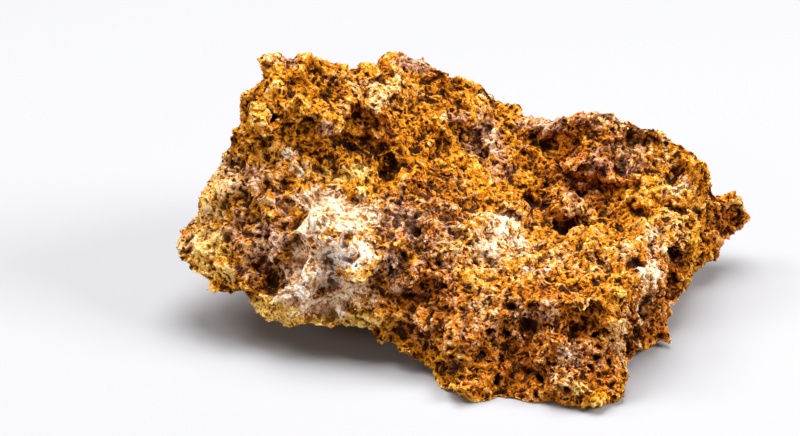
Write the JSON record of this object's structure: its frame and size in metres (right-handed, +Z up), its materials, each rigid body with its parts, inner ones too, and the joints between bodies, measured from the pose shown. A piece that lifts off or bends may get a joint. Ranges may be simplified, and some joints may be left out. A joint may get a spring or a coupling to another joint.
{
  "type": "bauxite specimen",
  "caption": "Hand specimen of bauxite: an irregular, porous lump of ochre and rust earthy ore with a chalky white patch and a saddle between its humps, lying on its underside.",
  "frame": {"origin": "middle of the lump's footprint, on the plane that it rests on", "axes": "+Z up, +X along the length towards the low narrow end, +Y from the porous front face towards the back"},
  "size_m": [0.093, 0.0626, 0.0413],
  "materials": {
    "ore": "rough earthy, porous, fully matte"
  },
  "bodies": {
    "root": {"bauxite_specimen": "ore"}
  },
  "joints": []
}
